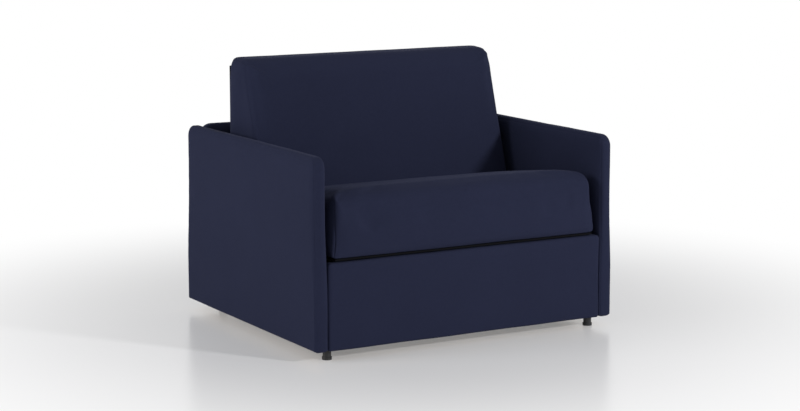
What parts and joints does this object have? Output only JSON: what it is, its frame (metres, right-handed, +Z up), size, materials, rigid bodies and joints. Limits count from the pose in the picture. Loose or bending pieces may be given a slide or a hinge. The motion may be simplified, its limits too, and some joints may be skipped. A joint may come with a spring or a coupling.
{
  "type": "convertible chair bed",
  "caption": "Slim-armed upholstered armchair whose seat and back turn over the front panel and open flat into a single bed on its own mattress.",
  "frame": {"origin": "on the floor, under the middle of the folded chair", "axes": "+X to the right seen from the front, along the width; +Y to the rear, so the sitter faces -Y; +Z up"},
  "size_m": [1, 0.86, 0.809],
  "materials": {
    "navy_fabric": "woven matt",
    "mattress_ticking": "woven cotton ticking",
    "beech_slat": "lacquered",
    "plywood": "raw",
    "black_plastic": "moulded",
    "zinc_steel": "zinc plated",
    "coated_steel": "powder coated"
  },
  "bodies": {
    "base": {"left_arm_board": "plywood", "left_arm_cover": "navy_fabric", "right_arm_board": "plywood", "right_arm_cover": "navy_fabric", "front_panel_board": "plywood", "front_panel_cover": "navy_fabric", "rear_panel_board": "plywood", "rear_panel_cover": "navy_fabric", "left_base_rail": "plywood", "right_base_rail": "plywood", "front_base_rail": "plywood", "rear_base_rail": "plywood", "front_left_foot": "black_plastic", "front_right_foot": "black_plastic", "rear_left_foot": "black_plastic", "rear_right_foot": "black_plastic", "left_mechanism_plate": "coated_steel", "right_mechanism_plate": "coated_steel", "lift_pivot_pins": "zinc_steel"},
    "front_links": {"front_left_lift_link": "coated_steel", "front_right_lift_link": "coated_steel"},
    "rear_links": {"rear_left_lift_link": "coated_steel", "rear_right_lift_link": "coated_steel"},
    "head_section": {"head_frame": "coated_steel", "head_slats": "beech_slat", "head_mattress": "mattress_ticking", "left_head_hinge_plate": "coated_steel", "right_head_hinge_plate": "coated_steel", "lift_link_pins": "zinc_steel", "crease_pins": "zinc_steel"},
    "seat_section": {"seat_frame": "coated_steel", "seat_slats": "beech_slat", "middle_mattress": "mattress_ticking", "left_seat_hinge_plate": "coated_steel", "right_seat_hinge_plate": "coated_steel", "left_seat_rear_plate": "coated_steel", "right_seat_rear_plate": "coated_steel", "back_hinge_pins": "zinc_steel", "seat_board": "plywood", "seat_cushion": "navy_fabric"},
    "back_section": {"back_frame": "coated_steel", "back_slats": "beech_slat", "foot_mattress": "mattress_ticking", "left_back_hinge_plate": "coated_steel", "right_back_hinge_plate": "coated_steel", "leg_pins": "zinc_steel", "back_board": "plywood", "back_cushion": "navy_fabric"},
    "legs": {"left_leg": "coated_steel", "right_leg": "coated_steel", "left_leg_glide": "black_plastic", "right_leg_glide": "black_plastic"}
  },
  "joints": [
    {"name": "front_link_lift", "type": "hinge", "parent": "base", "child": "front_links", "pos_m": [0, -0.35692, 0.12214], "axis": [1, 0, 0], "range_deg": [0, 87]},
    {"name": "rear_link_lift", "type": "hinge", "parent": "base", "child": "rear_links", "pos_m": [0, -0.07692, 0.12214], "axis": [1, 0, 0], "range_deg": [0, 87]},
    {"name": "head_level", "type": "hinge", "parent": "front_links", "child": "head_section", "pos_m": [0, -0.13, 0.044], "axis": [1, 0, 0], "range_deg": [-87, 0]},
    {"name": "seat_fold", "type": "hinge", "parent": "head_section", "child": "seat_section", "pos_m": [0, -0.368, 0.1585], "axis": [1, 0, 0], "range_deg": [0, 180]},
    {"name": "back_unfold", "type": "hinge", "parent": "seat_section", "child": "back_section", "pos_m": [0, 0.26, 0.273], "axis": [1, 0, 0], "range_deg": [-90, 0]},
    {"name": "leg_swing", "type": "hinge", "parent": "back_section", "child": "legs", "pos_m": [0, 0.26, 0.493], "axis": [1, 0, 0], "range_deg": [-90, 0]}
  ],
  "couplings": [
    {"joint": "front_link_lift", "follows": "seat_fold", "ratio": 0.48333},
    {"joint": "rear_link_lift", "follows": "seat_fold", "ratio": 0.48333},
    {"joint": "head_level", "follows": "seat_fold", "ratio": -0.48333},
    {"joint": "back_unfold", "follows": "seat_fold", "ratio": -0.5},
    {"joint": "leg_swing", "follows": "seat_fold", "ratio": -0.5}
  ]
}
